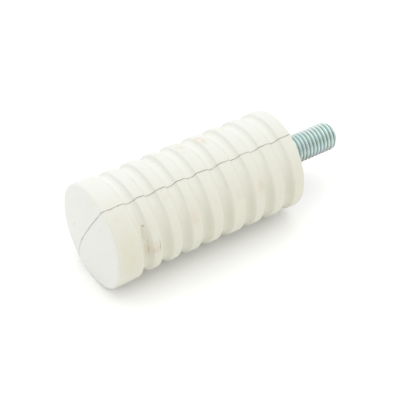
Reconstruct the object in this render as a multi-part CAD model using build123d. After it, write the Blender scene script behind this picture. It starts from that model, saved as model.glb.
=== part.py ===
from build123d import *
import os

# Ribbed ceramic insulator with a cemented-in threaded stud, lying along X.
# The origin is the centre of the flat seat face at the stud end. The stud points along +X and
# the ribbed body runs along -X to its domed nose. +Z is up. All sizes are in millimetres.

# Outside of the ceramic body
BODY_LENGTH = 88.2            # seat face to the front rim, without the dome
CREST_RADIUS = 21.25          # top of the ribs
BAND_RADIUS = 21.6            # the plain band behind the nose is slightly fuller than the ribs
DOME_HEIGHT = 3.2             # how far the nose bulges past its rim
FRONT_RIM_ROUND = 1.5
SEAT_RIM_ROUND = 1.4

# The round-bottomed ring grooves that leave the ribs standing
GROOVE_PITCH = 9.4
GROOVE_WIDTH = 5.0
GROOVE_DEPTH = 1.9
FIRST_GROOVE_END = 17.1       # front rim to the first groove's rear edge
GROOVE_DRIFT = (0.0, -0.5, -0.9, -1.1, -0.8, 0.1, -0.2, 0.0)   # hand-cut mould, uneven ribs
RIB_EDGE_ROUND = 0.45

# Blind socket in the seat face that the stud is cemented into
SOCKET_RADIUS = 10.0
SOCKET_DEPTH = 38.0
SOCKET_MOUTH_CHAMFER = 0.8
KEY_COUNT = 3                 # ring keys cut in the socket wall for the cement to grip
KEY_PITCH = 9.0
KEY_WIDTH = 3.0
KEY_DEPTH = 1.2
FIRST_KEY = 8.0               # seat face to the middle of the first key

# Stud, M12 coarse: a plain cylinder of the thread's major diameter stands for the thread
STUD_RADIUS = 6.0
STUD_REACH = 27.5             # seat face to the tip
STUD_TIP_CHAMFER = 1.2
SHANK_RADIUS = 5.2
COLLAR_RADIUS = 7.4
COLLAR_WIDTH = 3.0
COLLAR_COUNT = 3              # each stands half a key pitch behind a key

# Filling of the socket
CEMENT_RECESS = 1.0           # the cement stops just inside the mouth, clear of the seat face
CUSHION_THICKNESS = 3.0       # resilient disc between the stud's end and the ceramic


def turned(profile):
    """Revolves a closed half profile about the X axis."""
    return revolve(profile, axis=Axis.X)


def disc(middle, radius, width):
    """A cylinder along the X axis, centred on the given X."""
    return Pos(middle, 0, 0) * Rot(0, 90, 0) * Cylinder(radius, width)


def groove_ends():
    """X of each groove's rear edge, front to back."""
    first = -BODY_LENGTH + FIRST_GROOVE_END
    return [first + number * GROOVE_PITCH + drift for number, drift in enumerate(GROOVE_DRIFT)]


def socket_void():
    """The whole blind socket: a plain hole with a chamfered mouth and ring keys in its wall."""
    hole = disc(-SOCKET_DEPTH / 2, SOCKET_RADIUS, SOCKET_DEPTH)
    mouth = chamfer_cone(SOCKET_RADIUS, SOCKET_MOUTH_CHAMFER)
    keys = [
        disc(-FIRST_KEY - number * KEY_PITCH, SOCKET_RADIUS + KEY_DEPTH, KEY_WIDTH)
        for number in range(KEY_COUNT)
    ]
    return hole + mouth + keys


def chamfer_cone(radius, size):
    """A cone that widens a hole's mouth at the seat face by the size of its chamfer."""
    outline = Polyline((-size, 0), (-size, radius), (0, radius + size), (0, 0), close=True)
    return turned(make_face(outline))


def ceramic_body():
    """Ribbed body with its socket: domed nose, plain band, ribs between round grooves, flat seat."""
    front = -BODY_LENGTH
    pole = (front - DOME_HEIGHT, 0)
    rim = (front, BAND_RADIUS)
    dome_radius = (BAND_RADIUS**2 + DOME_HEIGHT**2) / (2 * DOME_HEIGHT)
    with BuildSketch() as half:
        with BuildLine():
            RadiusArc(pole, rim, dome_radius, short_sagitta=True)
            last = rim
            for end in groove_ends():
                front_edge = (end - GROOVE_WIDTH, last[1])
                bottom = (end - GROOVE_WIDTH / 2, CREST_RADIUS - GROOVE_DEPTH)
                rear_edge = (end, CREST_RADIUS)
                Line(last, front_edge)
                ThreePointArc(front_edge, bottom, rear_edge)
                last = rear_edge
            Polyline(last, (0, CREST_RADIUS), (0, 0), pole)
        make_face()
        nose = half.vertices().filter_by_position(Axis.X, front, front)
        fillet(nose, FRONT_RIM_ROUND)
        seat = half.vertices().filter_by_position(Axis.X, 0, 0)
        seat = seat.filter_by_position(Axis.Y, CREST_RADIUS, CREST_RADIUS)
        fillet(seat, SEAT_RIM_ROUND)
        first_edge = front + FIRST_GROOVE_END - GROOVE_WIDTH
        rib_edges = half.vertices().filter_by_position(Axis.X, first_edge - 1, -SEAT_RIM_ROUND - 1)
        fillet(rib_edges, RIB_EDGE_ROUND)
    return turned(half.sketch) - socket_void()


def mounting_stud():
    """Stud with an upset, collared root inside the socket and a chamfered tip outside."""
    root = -SOCKET_DEPTH + CUSHION_THICKNESS
    tip = STUD_REACH - STUD_TIP_CHAMFER
    outside = Polyline(
        (0, 0), (0, STUD_RADIUS), (tip, STUD_RADIUS), (STUD_REACH, STUD_RADIUS - STUD_TIP_CHAMFER),
        (STUD_REACH, 0), close=True,
    )
    shank = disc(root / 2, SHANK_RADIUS, -root)
    collars = [
        disc(-FIRST_KEY - (number + 0.5) * KEY_PITCH, COLLAR_RADIUS, COLLAR_WIDTH)
        for number in range(COLLAR_COUNT)
    ]
    return turned(make_face(outside)) + shank + collars


def cushion_disc():
    """Resilient disc on the floor of the socket."""
    return disc(-SOCKET_DEPTH + CUSHION_THICKNESS / 2, SOCKET_RADIUS, CUSHION_THICKNESS)


def cement_fill(stud, cushion):
    """Cement cast round the stud: it fills the socket up to its recess."""
    mould = Pos(-CEMENT_RECESS, 0, 0) * Box(
        SOCKET_DEPTH, 4 * SOCKET_RADIUS, 4 * SOCKET_RADIUS, align=(Align.MAX, Align.CENTER, Align.CENTER)
    )
    return (socket_void() & mould) - stud - cushion


os.makedirs("parts", exist_ok=True)
stud = mounting_stud()
cushion = cushion_disc()
export_step(ceramic_body(), "parts/ceramic_body.step")
export_step(stud, "parts/mounting_stud.step")
export_step(cushion, "parts/cushion_disc.step")
export_step(cement_fill(stud, cushion), "parts/cement_fill.step")
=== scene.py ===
"""Ribbed porcelain insulator lying on its side: an unglazed ribbed body with a cemented-in M12 stud.

Sizes are in millimetres in the frame's own axes: the origin is the middle of the seat face, the stud
points along +X, the body runs along -X to its domed nose, and +Z is up.
"""

import bpy
import numpy as np
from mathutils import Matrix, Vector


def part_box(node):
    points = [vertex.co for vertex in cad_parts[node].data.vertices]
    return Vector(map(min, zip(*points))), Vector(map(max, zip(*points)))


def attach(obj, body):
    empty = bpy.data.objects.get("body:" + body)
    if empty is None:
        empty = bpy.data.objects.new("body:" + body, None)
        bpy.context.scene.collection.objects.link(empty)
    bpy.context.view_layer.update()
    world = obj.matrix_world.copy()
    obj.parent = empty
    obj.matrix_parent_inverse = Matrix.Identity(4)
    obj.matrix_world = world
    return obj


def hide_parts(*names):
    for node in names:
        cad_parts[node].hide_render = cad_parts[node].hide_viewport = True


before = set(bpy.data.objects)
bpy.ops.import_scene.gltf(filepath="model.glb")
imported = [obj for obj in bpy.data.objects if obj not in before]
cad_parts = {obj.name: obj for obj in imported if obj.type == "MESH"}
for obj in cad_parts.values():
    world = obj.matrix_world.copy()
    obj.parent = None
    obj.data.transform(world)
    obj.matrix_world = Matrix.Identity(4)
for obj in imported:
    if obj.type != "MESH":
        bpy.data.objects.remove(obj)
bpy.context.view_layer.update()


# ---- The bench ------------------------------------------------------------------------------
# The insulator lies on a plain white bench top inside a light tent. The tent glows evenly but for
# its open front, which is a little darker, and one very broad lamp overhead lifts the top faces.

MM = 0.001                      # the scene is in metres
BODY_LOW, BODY_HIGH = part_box("ceramic_body")
BENCH_COLOUR = "#FDFDFC"
BENCH_REACH = 6.0               # metres each way, past the edge of any view
TENT_COLOUR = "#FFFFFF"
TENT_STRENGTH = 1.21
FRONT_STRENGTH = 0.75
FRONT_WAY = (-0.205, -0.973, 0.102)
FRONT_EDGES = (0.3, 0.9)        # cosines of the angles from FRONT_WAY where the front begins and is full
LAMP_SIZE = 0.8                 # metres
LAMP_PLACE = (0.05, 0.05, 0.70)
LAMP_POWER = 1.0                # watts
CAMERA_AIM = (-34.6, 3.7, -9.8)
CAMERA_DISTANCE = 531.0
CAMERA_TURN = -32.4             # degrees round the bench, 0 looks along +Y
CAMERA_TILT = 42.4              # degrees above the bench top
CAMERA_LENS = 117.2
CAMERA_SENSOR = 36.0            # width that the lens is given for


def linear(colour):
    """Turns an sRGB hex colour into the linear RGBA that a shader socket takes."""
    channels = np.array([int(colour[at:at + 2], 16) for at in (1, 3, 5)]) / 255
    lifted = np.where(channels > 0.04045, ((channels + 0.055) / 1.055) ** 2.4, channels / 12.92)
    return (*lifted.tolist(), 1.0)


def live(sockets, name):
    """The socket of that name that is in use, since some nodes hold one for each data type."""
    return next(socket for socket in sockets if socket.name == name and socket.enabled)


def add_node(tree, kind, output, inputs=(), **settings):
    """Adds one shader node with its own settings, fills its inputs with values or links, and returns
    the output asked for. An input is named, or numbered where several have one name."""
    node = tree.nodes.new("ShaderNode" + kind)
    for name, value in settings.items():
        setattr(node, name, value)
    for name, value in dict(inputs).items():
        socket = node.inputs[name] if isinstance(name, int) else live(node.inputs, name)
        if isinstance(value, bpy.types.NodeSocket):
            tree.links.new(value, socket)
        else:
            socket.default_value = value
    return live(node.outputs, output) if output else node


def new_material(name, values):
    """A node material whose Principled shader takes the plain values given."""
    material = bpy.data.materials.new(name)
    material.use_nodes = True
    shader = material.node_tree.nodes["Principled BSDF"]
    for socket, value in values.items():
        shader.inputs[socket].default_value = value
    return material, material.node_tree, shader


def lay_bench():
    """A flat square of matt white laminate that touches the lowest line of the body."""
    corners = np.array([(-1, -1), (1, -1), (1, 1), (-1, 1)]) * BENCH_REACH
    places = np.column_stack([corners, np.full(4, BODY_LOW.z)])
    mesh = bpy.data.meshes.new("bench")
    mesh.from_pydata(places.tolist(), [], [(0, 1, 2, 3)])
    laminate = {"Base Color": linear(BENCH_COLOUR), "Roughness": 0.9, "Specular IOR Level": 0.2}
    mesh.materials.append(new_material("matt_white_laminate", laminate)[0])
    bench = bpy.data.objects.new("bench", mesh)
    bpy.context.scene.collection.objects.link(bench)


def light_tent():
    """A white world with a darker front, and one broad lamp that points at the middle of the body."""
    world = bpy.data.worlds.new("tent")
    world.use_nodes = True
    cloth = world.node_tree.nodes["Background"]
    cloth.inputs["Color"].default_value = linear(TENT_COLOUR)
    way = add_node(world.node_tree, "TexCoord", "Generated")
    facing = add_node(
        world.node_tree, "VectorMath", "Value", {0: way, 1: FRONT_WAY}, operation="DOT_PRODUCT",
    )
    glow = add_node(world.node_tree, "MapRange", "Result", {
        "Value": facing, "From Min": FRONT_EDGES[0], "From Max": FRONT_EDGES[1],
        "To Min": TENT_STRENGTH, "To Max": FRONT_STRENGTH,
    }, interpolation_type="SMOOTHSTEP")
    world.node_tree.links.new(glow, cloth.inputs["Strength"])
    bpy.context.scene.world = world
    lamp = bpy.data.lights.new("lamp", "AREA")
    lamp.size = LAMP_SIZE
    lamp.energy = LAMP_POWER
    holder = bpy.data.objects.new("lamp", lamp)
    holder.location = LAMP_PLACE
    middle = (BODY_LOW + BODY_HIGH) / 2
    holder.rotation_euler = (middle - holder.location).to_track_quat("-Z", "Y").to_euler()
    bpy.context.scene.collection.objects.link(holder)


def set_camera():
    """A long lens that looks down on the insulator over its nose and near side."""
    turn, tilt = np.radians([CAMERA_TURN, CAMERA_TILT])
    back = np.array([np.sin(turn) * np.cos(tilt), -np.cos(turn) * np.cos(tilt), np.sin(tilt)])
    camera = bpy.data.objects.new("camera", bpy.data.cameras.new("camera"))
    camera.location = ((np.array(CAMERA_AIM) + CAMERA_DISTANCE * back) * MM).tolist()
    camera.rotation_euler = (np.pi / 2 - tilt, 0, turn)
    camera.data.lens = CAMERA_LENS
    camera.data.sensor_width = CAMERA_SENSOR
    bpy.context.scene.collection.objects.link(camera)
    bpy.context.scene.camera = camera


lay_bench()
light_tent()
set_camera()
bpy.context.scene.view_settings.view_transform = "Standard"


# ---- Ceramic body ---------------------------------------------------------------------------
# Fine-grained porcelain body pressed in a two-part mould and fired without a glaze, so it is matt
# and off-white. The parting line of the mould is left on as a low wandering flash, and the
# hand-cut mould leaves the ribs a little uneven. A blind socket with ring keys takes the stud.

BODY_LENGTH = 88.2
CREST_RADIUS = 21.25
BAND_RADIUS = 21.6
FRONT_ROUND = 1.5
SEAT_ROUND = 1.4
DOME_HEIGHT = 3.2
DOME_POWER = 1.7                # 2 is a ball's cap, 1 is a cone
POLE_BACK = 0.1                 # the pole sits this far behind the dome's full height
NOSE_LEAN = 0.8                 # half the difference in length between the two sides of the nose
NOSE_LEAN_WAY = np.radians(25)
NOSE_LEAN_END = -76.0
NOSE_FADE = (-0.2, 1.6)         # past the front rim, where the nose's own colour fades out
CHEEK = 0.9                     # the nose is fuller by this on its lower near side
CHEEK_WAY = np.radians(132)
CHEEK_END = -55.0
CHEEK_POWER = 6                 # higher is narrower
SOCKET_RADIUS = 10.0
SOCKET_DEPTH = 38.0
SOCKET_CHAMFER = 0.8
KEY_MIDDLES = (-8.0, -17.0, -26.0)
KEY_WIDTH = 3.0
KEY_DEPTH = 1.2
DOME_ROWS, ROUND_ROWS, SEAT_ROWS, WALL_ROWS = 28, 9, 12, 75
DOME_CROWDING = 0.8             # 1 spaces the dome's rows evenly, less opens them at the pole


def round_surface(name, points, first_pole=None, last_pole=None, rows_close=False):
    """A mesh from a grid of points (rows, columns, 3) in millimetres that closes round its columns.
    Each cell is a four-sided face. An end with a pole is closed by a fan of triangles, and a section
    that is a ring is closed from its last row to its first."""
    rows, columns = points.shape[:2]
    index = np.arange(rows * columns).reshape(rows, columns)
    if rows_close:
        index = np.vstack([index, index[:1]])
    ahead = np.roll(index, -1, axis=1)
    faces = np.stack([index[:-1], ahead[:-1], ahead[1:], index[1:]], axis=-1).reshape(-1, 4).tolist()
    places = points.reshape(-1, 3)
    if first_pole is not None:
        centre = np.full(columns, len(places))
        faces += np.column_stack([centre, ahead[0], index[0]]).tolist()
        places = np.vstack([places, first_pole])
    if last_pole is not None:
        centre = np.full(columns, len(places))
        faces += np.column_stack([index[-1], ahead[-1], centre]).tolist()
        places = np.vstack([places, last_pole])
    mesh = bpy.data.meshes.new(name)
    mesh.from_pydata((places * MM).tolist(), [], faces)
    mesh.shade_smooth()
    return mesh


def at_angle(along, radius, angle):
    """Points at a radius from the X axis, with the angle from straight up towards the near side."""
    along, radius, angle = np.broadcast_arrays(along, radius, angle)
    return np.stack([along, -radius * np.sin(angle), radius * np.cos(angle)], axis=-1)


def add_value(mesh, name, values):
    """Stores one number for each vertex, for the material to read."""
    attribute = mesh.attributes.new(name, "FLOAT", "POINT")
    attribute.data.foreach_set("value", np.asarray(values, np.float32).ravel())


def finish_piece(mesh, material, node):
    """Puts the piece in the scene in place of its CAD node."""
    mesh.materials.append(material)
    piece = bpy.data.objects.new(mesh.name, mesh)
    bpy.context.scene.collection.objects.link(piece)
    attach(piece, "root")
    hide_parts(node)


def ripple(place, waves, seed):
    """A smooth uneven line: the mean of sines of the given wavelengths with random phases."""
    phases = np.random.default_rng(seed).uniform(0, 2 * np.pi, len(waves))
    return sum(np.sin(2 * np.pi * place / wave + phase) for wave, phase in zip(waves, phases)) / len(waves)


GROOVE_PITCH = 9.4
GROOVE_WIDTH = 5.0
GROOVE_DEPTH = 2.0
GROOVE_POWER = 2.2              # 2 is a parabola, higher has a flatter bottom
SIDE_POWER = 0.7                # under 1 steepens the sides
EDGE_SOFTNESS = 0.02            # 0 leaves the ribs with sharp edges
FIRST_GROOVE_END = 17.1         # front rim to the first groove's rear edge
GROOVE_DRIFT = np.array([0.0, -0.5, -0.9, -1.1, -0.8, 0.1, -0.2, 0.0])
# half of how far each groove leans along X from one side of the body to the other
GROOVE_TILT = np.array([1.5, 1.05, 0.65, 0.85, 0.4, 0.75, 0.7, 0.65])
GROOVE_LEAN_WAY = 2.4           # radians from straight up, where the grooves lean towards the seat
GROOVE_LEAN_SHIFT = 0.3         # moves the leaning grooves towards the nose, as a share of the tilt
BEND, WANDER = 0.07, 0.05       # slow and quick waves of a groove round the body
UNEVEN_DEPTH = 0.06             # share of the depth
FLOOR_FROM, FLOOR_RISE, FLOOR_FALL = 0.03, 0.16, 0.65   # in shares of the width
GROOVE_MARGIN = 0.8             # fine rows run this far past a groove's edges
GROOVE_CROWDING = 0.55          # 0 spaces the rows evenly, near 1 crowds them at the edges
GROOVE_ROWS, BAND_ROWS, RIB_ROWS = 37, 10, 5


def groove_ends():
    """X of each groove's rear edge, front to back."""
    numbers = np.arange(len(GROOVE_DRIFT))
    return -BODY_LENGTH + FIRST_GROOVE_END + GROOVE_PITCH * numbers + GROOVE_DRIFT


def side_stations(ends):
    """X of the rows along the side: fine over each groove, finest at its edges, coarse on the ribs."""
    fronts = ends - GROOVE_WIDTH - GROOVE_MARGIN
    share = np.linspace(0, 1, GROOVE_ROWS)
    share = share - GROOVE_CROWDING * np.sin(2 * np.pi * share) / (2 * np.pi)
    stops = [np.linspace(-BODY_LENGTH + FRONT_ROUND, fronts[0], BAND_ROWS, endpoint=False)]
    for front, end, following in zip(fronts, ends + GROOVE_MARGIN, np.append(fronts[1:], -SEAT_ROUND)):
        stops.append(front + (end - front) * share)
        stops.append(np.linspace(end, following, RIB_ROWS)[1:-1])
    stops.append([-SEAT_ROUND])
    return np.concatenate(stops)


def smooth_step(value):
    """0 below 0, 1 above 1, and a smooth cubic between."""
    share = np.clip(value, 0, 1)
    return share * share * (3 - 2 * share)


def grooves(along, angle, ends):
    """Depth of the grooves, and a mask of their floors. A groove is round-bottomed, one less a power
    of the distance from its middle, and a softened maximum with nothing eases its edges into the ribs.
    Each one leans and wanders a little. Its floor counts as such from just ahead of the rear edge, and
    fades out towards the front edge."""
    depth = np.zeros(np.broadcast(along, angle).shape)
    floor = np.zeros(depth.shape)
    for number, (end, tilt) in enumerate(zip(ends, GROOVE_TILT)):
        lean = tilt * (np.cos(angle - GROOVE_LEAN_WAY) - GROOVE_LEAN_SHIFT)
        bend = BEND * np.sin(2 * angle + 1.3 * number) + WANDER * np.sin(5 * angle + 2.1 * number)
        across = (end + lean + bend - along) / GROOVE_WIDTH
        hollow = 1 - np.abs(2 * across - 1) ** GROOVE_POWER
        eased = (hollow + np.sqrt(hollow ** 2 + EDGE_SOFTNESS)) / 2
        cut = GROOVE_DEPTH * (1 + UNEVEN_DEPTH * np.sin(angle + 1.7 * number))
        depth += cut * np.where(np.abs(across - 0.5) < 1, eased, 0) ** SIDE_POWER
        floor += smooth_step((1 - across) / FLOOR_FALL) * smooth_step((across - FLOOR_FROM) / FLOOR_RISE)
    return depth, floor


def body_section(ends):
    """The body's half section as rows of (x, radius): over the dome from its pole, round the front rim,
    along the side, round the seat rim, in over the seat, and down the keyed socket to its floor. Also
    how many of the rows are on the outer skin."""
    quarter = np.linspace(0, np.pi / 2, ROUND_ROWS)[1:-1]
    dome_edge = BAND_RADIUS - FRONT_ROUND
    dome = dome_edge * np.linspace(0, 1, DOME_ROWS)[1:] ** DOME_CROWDING
    side = side_stations(ends)
    seat = np.linspace(CREST_RADIUS - SEAT_ROUND, SOCKET_RADIUS + SOCKET_CHAMFER, SEAT_ROWS)
    wall = np.linspace(-SOCKET_CHAMFER, -SOCKET_DEPTH, WALL_ROWS)
    keyed = sum(np.abs(wall - middle) < KEY_WIDTH / 2 for middle in KEY_MIDDLES)
    pieces = [
        (-BODY_LENGTH - DOME_HEIGHT * (1 - (dome / dome_edge) ** DOME_POWER), dome),
        (-BODY_LENGTH + FRONT_ROUND * (1 - np.cos(quarter)), dome_edge + FRONT_ROUND * np.sin(quarter)),
        (side, np.where(side < ends[0] - GROOVE_WIDTH / 2, BAND_RADIUS, CREST_RADIUS)),
        (-SEAT_ROUND * (1 - np.sin(quarter)), CREST_RADIUS - SEAT_ROUND * (1 - np.cos(quarter))),
        (np.zeros(len(seat)), seat),
        (wall, SOCKET_RADIUS + KEY_DEPTH * keyed),
    ]
    along, radius = (np.concatenate([piece[part] for piece in pieces]) for part in (0, 1))
    return along, radius, len(along) - len(wall) - len(seat)


SEAM_ANGLE = np.radians(26.6)   # from straight up towards the near side
SEAM_WANDER = ((0.2, (23, 9, 5.3, 2.9), 4), (0.05, (1.7, 1.1), 5))     # reach, wavelengths, seed
WANDER_SPREAD = 0.4             # sine of the angle over which the columns follow the seam
FLASH_HEIGHT = 0.22
FLASH_WIDTH = 0.13
FLASH_UNEVEN = 0.3              # share of its height
FLASH_WAVES = (3.1, 1.9)
HALF_STEP = 0.06                # one half of the mould stands this much proud of the other
STEP_WIDTH, STEP_REACH = 0.4, 5.0
SWELL = 0.05                    # slow unevenness of the skin
SWELL_TWISTS = (17, 11)         # millimetres along the body for each radian of twist
SKIN_INSET = 0.22               # keeps the flash and the swell inside the CAD outline
OFF_SEAM = 9                    # stands for far from the seam, on the seat and in the socket
PLAIN_COLUMNS = 156
SEAM_REACH = 1.4                # half width of the strip of fine columns along each seam
SEAM_COLUMNS = 21
SEAM_CLEAR = 1.2                # plain columns keep this many strip widths away
SEAM_CROWDING = 1.5             # 1 spaces the strip's columns evenly


def body_columns():
    """Angles of the columns from the seam: even all round, and crowded along the two parting lines."""
    strip = SEAM_REACH / CREST_RADIUS
    even = np.linspace(0, 2 * np.pi, PLAIN_COLUMNS, endpoint=False)
    even = even[np.abs(np.sin(even)) > SEAM_CLEAR * strip]
    fine = np.linspace(-1, 1, SEAM_COLUMNS)
    fine = strip * np.sign(fine) * np.abs(fine) ** SEAM_CROWDING
    return np.sort(np.concatenate([even, fine % (2 * np.pi), fine + np.pi]))


def ceramic_body():
    """The half section turned round the axis, then pushed out or in along its normal by the flash, the
    step between the mould's halves and a slow unevenness, cut in by the grooves, filled out at the
    cheek, and sheared along X at the nose."""
    ends = groove_ends()
    along, radius, skin_rows = body_section(ends)
    turn = body_columns()
    rows, radii = along[:, None], radius[:, None]
    outside = (np.arange(len(along)) < skin_rows)[:, None]
    wander = sum(reach * ripple(rows, waves, seed) for reach, waves, seed in SEAM_WANDER)
    held = np.exp(-((np.sin(turn) / WANDER_SPREAD) ** 2)) * (radii / CREST_RADIUS) ** 3
    angle = SEAM_ANGLE + turn + np.where(outside, wander * held, 0) / CREST_RADIUS
    from_seam = radii * np.sin(turn)

    depth, floor = grooves(rows, angle, ends)
    height = FLASH_HEIGHT * (1 - FLASH_UNEVEN + FLASH_UNEVEN * ripple(rows, FLASH_WAVES, 6))
    flash = height * np.exp(-((from_seam / FLASH_WIDTH) ** 2))
    step = HALF_STEP * np.clip(from_seam / STEP_WIDTH, -1, 1) * np.exp(-((from_seam / STEP_REACH) ** 2))
    slow, quick = (rows / twist for twist in SWELL_TWISTS)
    swell = SWELL * (np.sin(2 * angle + slow) + np.sin(3 * angle - quick))
    push = np.where(outside, flash - step + swell - SKIN_INSET, 0)
    full = smooth_step((CHEEK_END - rows) / (CHEEK_END + BODY_LENGTH)) * (radii / BAND_RADIUS) ** 2
    cheek = CHEEK * full * np.clip(np.cos(angle - CHEEK_WAY), 0, None) ** CHEEK_POWER

    run, rise = np.gradient(along), np.gradient(radius)
    length = np.hypot(run, rise)
    out_along, out_radius = (-rise / length)[:, None], (run / length)[:, None]
    skin = radii + out_radius * push + (cheek - depth) * outside
    points = at_angle(rows + out_along * push, skin, angle)
    share = np.clip((NOSE_LEAN_END - rows) / (NOSE_LEAN_END + BODY_LENGTH), 0, 1)
    points[..., 0] += NOSE_LEAN * share * (1 + radii / BAND_RADIUS * np.cos(angle - NOSE_LEAN_WAY))
    front_pole = (-BODY_LENGTH - DOME_HEIGHT + POLE_BACK + NOSE_LEAN, 0, 0)
    mesh = round_surface("ceramic_body", points, front_pole, (-SOCKET_DEPTH, 0, 0))

    start, stop = NOSE_FADE
    nose = np.broadcast_to(1 - smooth_step((rows + BODY_LENGTH - start) / (stop - start)), angle.shape)
    add_value(mesh, "from_seam", np.append(np.where(outside, from_seam, OFF_SEAM), [0, OFF_SEAM]))
    add_value(mesh, "nose", np.append(nose, [1, 0]))
    add_value(mesh, "groove_floor", np.append(floor * outside, [0, 0]))
    return mesh


CLEAN_BISCUIT = ("#DADBD5", "#DEDFD9")
# painted yellower tint towards the near side
NEAR_SIDE_TINT_BISCUIT = ("#DAD9CA", "#DDDCCE")
NOSE_BISCUIT = "#DCDDD8"
YELLOWED = "#D5D0B8"
# painted highlight on the groove floors over the top
FLOOR_PAINTED_HIGHLIGHT = "#E9EAE2"
# painted shade on the groove floors low down on the near side
FLOOR_PAINTED_SHADE = "#C6C2AC"
# a dark broken line painted beside the top of the flash
SEAM_DARK_LINE = "#5A574C"
SEAM_DARK_LINE_MIDDLE = -0.16        # beside the top of the flash
SEAM_DARK_LINE_HALF = 0.3
PORCELAIN_NOISE = {             # size of the features, detail, roughness
    "clean": (14, 3, 0.5), "near_side_tint": (9, 3, 0.5), "yellow": (5, 4, 0.6), "patchy": (2.2, 4, 0.65),
    "broken": (1.8, 3, 0.5), "waves": (3.5, 2, 0.5), "grain": (0.35, 3, 0.5),
}
# Stains: x, angle in degrees from straight up, half length along X, half length round, colour, strength
STAINS = (
    (-73.2, 66, 1.8, 6.0, "#B89A68", 0.26),
    (-72.8, 87, 2.4, 7.0, "#B89A66", 0.24),
    (-72.6, 56, 0.8, 0.9, "#7E6238", 0.50),
    (-72.1, 82, 0.32, 6.5, "#8A7050", 0.50),
    (-67.9, 83, 0.30, 5.5, "#6B5A45", 0.58),
    (-69.8, 88, 2.6, 6.5, "#C7A48C", 0.36),
    (-89.72, -78, 0.12, 6.0, "#B79A7A", 0.35),
    (-80.5, 80, 6.0, 14.0, "#CFC48C", 0.22),
    (-33.5, -14, 2.6, 6.0, "#C08B4E", 0.30),
    (-43.0, -18, 3.4, 8.5, "#C9BE98", 0.36),
    (-54.0, -18, 3.0, 8.0, "#CFC6A4", 0.26),
    (-51.6, 70, 2.8, 6.5, "#D9A890", 0.20),
    (-30.6, 64, 2.4, 4.0, "#C98F74", 0.14),
    (-20.5, 67, 3.0, 5.5, "#CBA27E", 0.24),
)


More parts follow.
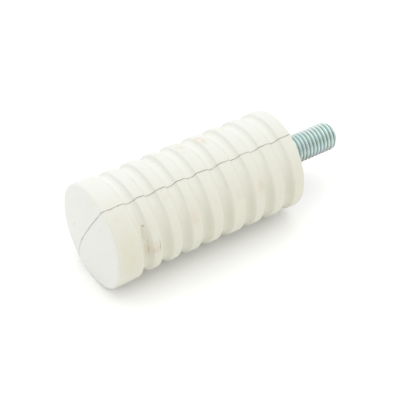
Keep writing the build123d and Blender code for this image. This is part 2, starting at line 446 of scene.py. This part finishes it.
def unglazed_porcelain():
    """Biscuit-fired porcelain. Unglazed, it scatters light from a very fine open grain: no gloss, a dry
    off-white painted yellower towards the near side, a dark broken line painted beside the flash, and
    old stains. The floors of the grooves have a painted highlight above and painted shade low down on
    the near side."""
    material, tree, shader = new_material("unglazed_porcelain", {
        "Roughness": 0.78, "IOR": 1.5, "Specular IOR Level": 0.35,
    })
    place = add_node(tree, "TexCoord", "Object")
    parts = add_node(tree, "SeparateXYZ", None, {"Vector": place}).outputs
    near = add_node(tree, "Math", "Value", {0: parts["Y"], 1: -1.0}, operation="MULTIPLY")
    turn = add_node(tree, "Math", "Value", {0: near, 1: parts["Z"]}, operation="ARCTAN2")
    around = add_node(tree, "Math", "Value", {0: turn, 1: CREST_RADIUS}, operation="MULTIPLY")
    along = add_node(tree, "Math", "Value", {0: parts["X"], 1: 1 / MM}, operation="MULTIPLY")
    unrolled = add_node(tree, "CombineXYZ", "Vector", {"X": along, "Y": around})
    seam, nose, floor = (
        add_node(tree, "Attribute", "Fac", attribute_name=name)
        for name in ("from_seam", "nose", "groove_floor")
    )
    seam = add_node(tree, "Math", "Value", {0: seam, 1: SEAM_DARK_LINE_MIDDLE}, operation="SUBTRACT")
    noise = {
        name: add_node(tree, "TexNoise", "Fac", {
            "Vector": place, "Scale": 1 / (size * MM), "Detail": detail, "Roughness": roughness,
        })
        for name, (size, detail, roughness) in PORCELAIN_NOISE.items()
    }
    spans = {                   # input, its span, and what it goes to smoothly from the one end to the other
        # yellower tint painted more strongly towards the near side
        "near_side_tint": (near, -9 * MM, 25 * MM, 0.0, 1.0),
        "yellow": (noise["yellow"], 0.55, 0.75, 0.0, 0.30),
        # painted highlight on the groove floors, strongest away from the near side
        "painted_highlight_floor": (near, 11 * MM, 20 * MM, 0.38, 0.0),
        # painted shade on the groove floors, low down on the near side
        "painted_shade_floor": (near, 17 * MM, 21.5 * MM, 0.0, 0.40),
        "patchy": (noise["patchy"], 0.32, 0.62, 0.0, 1.0),
        "broken": (noise["broken"], 0.25, 0.6, 0.5, 1.0),
        "seam": (seam, -SEAM_DARK_LINE_HALF, SEAM_DARK_LINE_HALF, 0.0, 1.0),
    }
    for number, (middle, angle, half_along, half_round, _, strength) in enumerate(STAINS):
        centre = (middle, np.radians(angle) * CREST_RADIUS, 0)
        offset = add_node(tree, "VectorMath", "Vector", {0: unrolled, 1: centre}, operation="SUBTRACT")
        scaled = {0: offset, 1: (1 / half_along, 1 / half_round, 0)}
        offset = add_node(tree, "VectorMath", "Vector", scaled, operation="MULTIPLY")
        reach = add_node(tree, "VectorMath", "Value", {0: offset}, operation="LENGTH")
        spans[number] = (reach, 0.1, 1.0, strength, 0.0)
    share = {
        name: add_node(tree, "MapRange", "Result", {
            "Value": value, "From Min": low, "From Max": high, "To Min": to_low, "To Max": to_high,
        }, interpolation_type="SMOOTHSTEP")
        for name, (value, low, high, to_low, to_high) in spans.items()
    }
    side = add_node(tree, "Math", "Value", {0: share["seam"], 1: 0.5}, operation="SUBTRACT")
    side = add_node(tree, "Math", "Value", {0: side}, operation="ABSOLUTE")
    line = add_node(tree, "MapRange", "Result", {
        "Value": side, "From Min": 0.08, "From Max": 0.48, "To Min": 1.0, "To Max": 0.0,
    }, interpolation_type="SMOOTHSTEP")

    colour, near_side_tint = (
        add_node(tree, "Mix", "Result", {
            "Factor": noise[name], "A": linear(first), "B": linear(second),
        }, data_type="RGBA")
        for name, (first, second) in (("clean", CLEAN_BISCUIT), ("near_side_tint", NEAR_SIDE_TINT_BISCUIT))
    )
    layers = [                  # each lies over the last: two shares that are multiplied, and a colour
        # painted yellower tint on the near side
        (share["near_side_tint"], 1.0, near_side_tint),
        (nose, 1.0, linear(NOSE_BISCUIT)),
        (share["yellow"], 1.0, linear(YELLOWED)),
        # painted highlight on the groove floors
        (floor, share["painted_highlight_floor"], linear(FLOOR_PAINTED_HIGHLIGHT)),
        # painted shade on the groove floors
        (floor, share["painted_shade_floor"], linear(FLOOR_PAINTED_SHADE)),
        *((share[number], share["patchy"], linear(stain[4])) for number, stain in enumerate(STAINS)),
        # the dark broken line painted beside the flash
        (line, share["broken"], linear(SEAM_DARK_LINE)),
    ]
    for first, second, layer in layers:
        factor = add_node(tree, "Math", "Value", {0: first, 1: second}, operation="MULTIPLY")
        over = {"Factor": factor, "A": colour, "B": layer}
        colour = add_node(tree, "Mix", "Result", over, data_type="RGBA")
    tree.links.new(colour, shader.inputs["Base Color"])

    fine = {"Height": noise["grain"], "Strength": 0.25, "Distance": 0.05 * MM}
    grain = add_node(tree, "Bump", "Normal", fine)
    waves = {"Height": noise["waves"], "Strength": 0.5, "Distance": 0.12 * MM, "Normal": grain}
    tree.links.new(add_node(tree, "Bump", "Normal", waves), shader.inputs["Normal"])
    return material


finish_piece(ceramic_body(), unglazed_porcelain(), "ceramic_body")


# ---- Mounting stud --------------------------------------------------------------------------
# Steel stud with a rolled M12 x 1.75 thread and a 45 degree lead at its tip, zinc plated and blue
# passivated. Its root inside the body is plain, with three upset collars that the cement grips.

STUD_RADIUS = 6.0
STUD_REACH = 27.5
STUD_LEAD = 1.5
THREAD_PITCH = 1.75
THREAD_DEPTH = 0.6134 * THREAD_PITCH
THREAD_START = -1.6             # the thread runs out just inside the cement
THREAD_STEPS = 20               # rows to a pitch
CREST_SHARE = 0.10              # of the pitch
FLANK_SHARE = 0.72              # of the pitch, both flanks together
FLANK_STRAIGHT = 0.55           # the rest of the flank is a smooth step
STUD_COLUMNS = 128
SHANK_RADIUS = 5.2
SHANK_END = -35.0
COLLAR_RADIUS = 7.4
COLLAR_WIDTH = 3.0
COLLAR_MIDDLES = (-12.5, -21.5, -30.5)
HEEL_CHAMFER = 0.4
SHOULDER = 0.3                  # from the shank up to the thread
TIP_DISH = 0.15
HEEL_ROWS, SHANK_ROWS, TIP_ROWS = 6, 140, 9


def thread_depth(along, angle):
    """Depth under the crest of a single helix: a flat crest a tenth of the pitch wide, flanks that mix a
    straight slope with a smooth step, and a narrow root. It fades in where it starts. The helix runs
    left-handed, which is a known fault, since a standard M12 thread is right-handed."""
    turns = along / THREAD_PITCH + angle / (2 * np.pi)
    share = np.abs((turns % 1) - 0.5) * 2
    flank = np.clip((share - CREST_SHARE) / FLANK_SHARE, 0, 1)
    runout = np.clip((along - THREAD_START) / THREAD_PITCH, 0, 1)
    return THREAD_DEPTH * (FLANK_STRAIGHT * flank + (1 - FLANK_STRAIGHT) * smooth_step(flank)) * runout


def mounting_stud():
    """Root, collars and thread as one turned section, with the helix cut in along the normal. The lead
    cone and the thread share a place by taking the smaller radius, and the tip is dished a little."""
    tip_radius = STUD_RADIUS - STUD_LEAD
    heel = np.linspace(0, SHANK_RADIUS - HEEL_CHAMFER, HEEL_ROWS)[1:]
    shank = np.linspace(SHANK_END + HEEL_CHAMFER, THREAD_START - SHOULDER, SHANK_ROWS)
    collared = sum(np.abs(shank - middle) < COLLAR_WIDTH / 2 for middle in COLLAR_MIDDLES)
    rows = int((STUD_REACH - THREAD_START) / THREAD_PITCH * THREAD_STEPS)
    thread = np.linspace(THREAD_START, STUD_REACH, rows)
    tip = np.linspace(tip_radius - TIP_DISH, 0, TIP_ROWS)[:-1]
    lead = STUD_RADIUS - np.clip(thread - STUD_REACH + STUD_LEAD, 0, None)
    along = np.concatenate([np.full(len(heel), SHANK_END), shank, thread, np.full(len(tip), STUD_REACH)])
    radius = np.concatenate([
        heel, SHANK_RADIUS + (COLLAR_RADIUS - SHANK_RADIUS) * collared, np.full(rows, STUD_RADIUS), tip,
    ])
    threaded = np.zeros(len(along), bool)
    threaded[len(heel) + len(shank):len(along) - len(tip)] = True
    angle = np.linspace(0, 2 * np.pi, STUD_COLUMNS, endpoint=False)
    depth = thread_depth(along[:, None], angle) * threaded[:, None]
    surface = radius[:, None] - depth
    surface[threaded] = np.minimum(surface[threaded], lead[:, None])
    dish = np.where(along == STUD_REACH, TIP_DISH * (1 - radius / tip_radius), 0)[:, None]
    points = at_angle(along[:, None] - dish * ~threaded[:, None], surface, angle)
    mesh = round_surface("mounting_stud", points, (SHANK_END, 0, 0), (STUD_REACH - TIP_DISH, 0, 0))
    add_value(mesh, "depth", np.append(depth / THREAD_DEPTH, [0, 0]))
    return mesh


FILM_ENDS = ((0.30, "#D6E6E9"), (0.72, "#E6EFEE"))      # place on the noise, tint
FILM_MIDDLES = ((0.44, "#E0EEEE"), (0.56, "#E0EDE4"))
# painted shade in the roots of the thread
THREAD_ROOT_PAINTED_SHADE = "#84A0A4"
# painted shade on the stud's underside
STUD_UNDERSIDE_PAINTED_SHADE = "#85868C"


def zinc_plate():
    """Bright zinc over steel with a clear blue passivation. The plate is a fine-grained metal with a
    soft shine, and the thin passive film tints it from steel blue to straw. Painted shade darkens the
    roots of the thread and the underside."""
    material, tree, shader = new_material("blue_passivated_zinc", {
        "Metallic": 1.0, "Roughness": 0.4, "Specular Tint": linear("#6A7477"),
    })
    place = add_node(tree, "TexCoord", "Object")
    film = add_node(tree, "TexNoise", "Fac", {"Vector": place, "Scale": 1 / (9 * MM), "Detail": 2.0})
    tint = add_node(tree, "ValToRGB", None, {"Fac": film})
    stops = tint.color_ramp.elements
    for stop, (where, shade) in zip(stops, FILM_ENDS):
        stop.position, stop.color = where, linear(shade)
    for where, shade in FILM_MIDDLES:
        stops.new(where).color = linear(shade)
    # painted shade: darker towards the roots of the thread
    root = add_node(tree, "Attribute", "Fac", attribute_name="depth")
    shaded = add_node(tree, "MapRange", "Result", {
        "Value": root, "From Min": 0.40, "From Max": 1.0, "To Min": 0.0, "To Max": 0.9,
    })
    colour = add_node(tree, "Mix", "Result", {
        "Factor": shaded, "A": tint.outputs["Color"], "B": linear(THREAD_ROOT_PAINTED_SHADE),
    }, data_type="RGBA")
    # painted shade: darker on the underside
    height = add_node(tree, "SeparateXYZ", None, {"Vector": place})
    under = add_node(tree, "MapRange", "Result", {
        "Value": height.outputs["Z"], "From Min": 0.0, "From Max": -4 * MM, "To Max": 0.7,
    })
    colour = add_node(tree, "Mix", "Result", {
        "Factor": under, "A": colour, "B": linear(STUD_UNDERSIDE_PAINTED_SHADE),
    }, data_type="RGBA")
    tree.links.new(colour, shader.inputs["Base Color"])
    grain = add_node(tree, "TexNoise", "Fac", {"Vector": place, "Scale": 1 / (0.3 * MM), "Detail": 3.0})
    uneven = {"Value": grain, "To Min": 0.34, "To Max": 0.46}
    tree.links.new(add_node(tree, "MapRange", "Result", uneven), shader.inputs["Roughness"])
    rough = {"Height": grain, "Strength": 0.15, "Distance": 0.02 * MM}
    tree.links.new(add_node(tree, "Bump", "Normal", rough), shader.inputs["Normal"])
    return material


finish_piece(mounting_stud(), zinc_plate(), "mounting_stud")


# ---- Cement fill ----------------------------------------------------------------------------
# Neat cement poured round the stud and left to set with the seat upwards. Its surface stops a
# millimetre inside the mouth and creeps up the stud and the socket wall where it wetted them.

CEMENT_RECESS = 1.0
CEMENT_CREEP = 0.3
CUSHION_TOP = SHANK_END
CEMENT_ROWS, FACE_ROWS, BASE_ROWS = 100, 18, 8
CEMENT_COLUMNS = 96
BORE_CREEP = 0.2                # the cement laps this far up the stud
BORE_FLARE = 0.6                # and opens by this round the start of the thread
FLARE_START = -2.0
FACE_LAP = 0.3                  # the set surface runs on this far under the thread's crest
LUMPS = ((0.06, 5, 2.1), (0.04, 13, -3))        # height, waves round, twist for each mm of radius


def cement_fill():
    """A ring section: out along the socket's keyed wall, in over the set surface, back down the stud's
    collared root, and out over the cushion. The set surface is a shallow bowl with small lumps."""
    wall = np.linspace(CUSHION_TOP, -CEMENT_RECESS + CEMENT_CREEP, CEMENT_ROWS)
    keyed = sum(np.abs(wall - middle) < KEY_WIDTH / 2 for middle in KEY_MIDDLES)
    inner = np.linspace(-CEMENT_RECESS + BORE_CREEP, CUSHION_TOP, CEMENT_ROWS)
    collared = sum(np.abs(inner - middle) < COLLAR_WIDTH / 2 for middle in COLLAR_MIDDLES)
    flare = BORE_FLARE * np.clip(inner - FLARE_START, 0, 1)
    bore = SHANK_RADIUS + (COLLAR_RADIUS - SHANK_RADIUS) * collared + flare
    face = np.linspace(SOCKET_RADIUS, STUD_RADIUS - FACE_LAP, FACE_ROWS)[1:-1]
    share = (face - STUD_RADIUS) / (SOCKET_RADIUS - STUD_RADIUS)
    bowl = -CEMENT_RECESS + CEMENT_CREEP * np.abs(2 * share - 1) ** 3
    base = np.linspace(SHANK_RADIUS, SOCKET_RADIUS, BASE_ROWS)[1:-1]
    along = np.concatenate([wall, bowl, inner, np.full(len(base), CUSHION_TOP)])
    radius = np.concatenate([SOCKET_RADIUS + KEY_DEPTH * keyed, face, bore, base])
    on_face = (np.arange(len(along)) >= len(wall)) & (np.arange(len(along)) < len(wall) + len(face))
    angle = np.linspace(0, 2 * np.pi, CEMENT_COLUMNS, endpoint=False)
    lumps = sum(high * np.sin(waves * angle + twist * radius[:, None]) for high, waves, twist in LUMPS)
    points = at_angle(along[:, None] + lumps * on_face[:, None], radius[:, None], angle)
    return round_surface("cement_fill", points, rows_close=True)


def set_cement():
    """Portland cement paste, cast and left as it set: grey, dry and chalky, with sand grains in it."""
    material, tree, shader = new_material("set_cement", {"Roughness": 0.9, "Specular IOR Level": 0.3})
    place = add_node(tree, "TexCoord", "Object")
    cloud = add_node(tree, "TexNoise", "Fac", {"Vector": place, "Scale": 1 / (3 * MM), "Detail": 4.0})
    colour = add_node(tree, "Mix", "Result", {
        "Factor": cloud, "A": linear("#8F8C83"), "B": linear("#BDB9AD"),
    }, data_type="RGBA")
    sand = add_node(tree, "TexVoronoi", "Distance", {"Vector": place, "Scale": 1 / (0.6 * MM)})
    speck = add_node(tree, "MapRange", "Result", {
        "Value": sand, "From Min": 0.12, "From Max": 0.3, "To Min": 0.5, "To Max": 0.0,
    })
    colour = add_node(tree, "Mix", "Result", {
        "Factor": speck, "A": colour, "B": linear("#6A665C"),
    }, data_type="RGBA")
    tree.links.new(colour, shader.inputs["Base Color"])
    rough = {"Height": cloud, "Strength": 0.8, "Distance": 0.15 * MM}
    tree.links.new(add_node(tree, "Bump", "Normal", rough), shader.inputs["Normal"])
    return material


finish_piece(cement_fill(), set_cement(), "cement_fill")


# ---- Cushion disc ---------------------------------------------------------------------------
# A disc punched from cork and rubber sheet, dropped into the socket before the cement. It gives
# way when the stud grows with heat, so that the stud's end can't split the ceramic.

CUSHION_THICKNESS = 3.0
CUSHION_BULGE = 0.15
CUSHION_GRAIN = 0.03
DISC_ROWS, EDGE_ROWS = 20, 9


def cushion_disc():
    """A flat disc whose edge bellies out as a half sine where it is squeezed, with a granular skin."""
    middle = CUSHION_TOP - CUSHION_THICKNESS / 2
    face = np.linspace(0, SOCKET_RADIUS - CUSHION_BULGE, DISC_ROWS)[1:]
    edge = np.linspace(0, np.pi, EDGE_ROWS)[1:-1]
    along = np.concatenate([
        np.full(len(face), middle - CUSHION_THICKNESS / 2),
        middle - CUSHION_THICKNESS / 2 * np.cos(edge),
        np.full(len(face), middle + CUSHION_THICKNESS / 2),
    ])
    radius = np.concatenate([face, face[-1] + CUSHION_BULGE * np.sin(edge), face[::-1]])
    angle = np.linspace(0, 2 * np.pi, CEMENT_COLUMNS, endpoint=False)
    outwards = np.sign(middle - along[:, None])
    grains = CUSHION_GRAIN * np.sin(17 * angle + 4 * radius[:, None]) * outwards
    points = at_angle(along[:, None] + grains, radius[:, None], angle)
    ends = [(middle + side * CUSHION_THICKNESS / 2, 0, 0) for side in (-1, 1)]
    return round_surface("cushion_disc", points, *ends)


def cork_rubber():
    """Cork granules bound with rubber and cut from sheet: dull dark brown with paler flecks."""
    material, tree, shader = new_material("cork_rubber_sheet", {"Roughness": 0.85})
    place = add_node(tree, "TexCoord", "Object")
    granule = add_node(tree, "TexVoronoi", "Distance", {"Vector": place, "Scale": 1 / (0.9 * MM)})
    colour = add_node(tree, "Mix", "Result", {
        "Factor": granule, "A": linear("#8A6A48"), "B": linear("#2B2622"),
    }, data_type="RGBA")
    tree.links.new(colour, shader.inputs["Base Color"])
    rough = {"Height": granule, "Strength": 0.6, "Distance": 0.1 * MM}
    tree.links.new(add_node(tree, "Bump", "Normal", rough), shader.inputs["Normal"])
    return material


finish_piece(cushion_disc(), cork_rubber(), "cushion_disc")
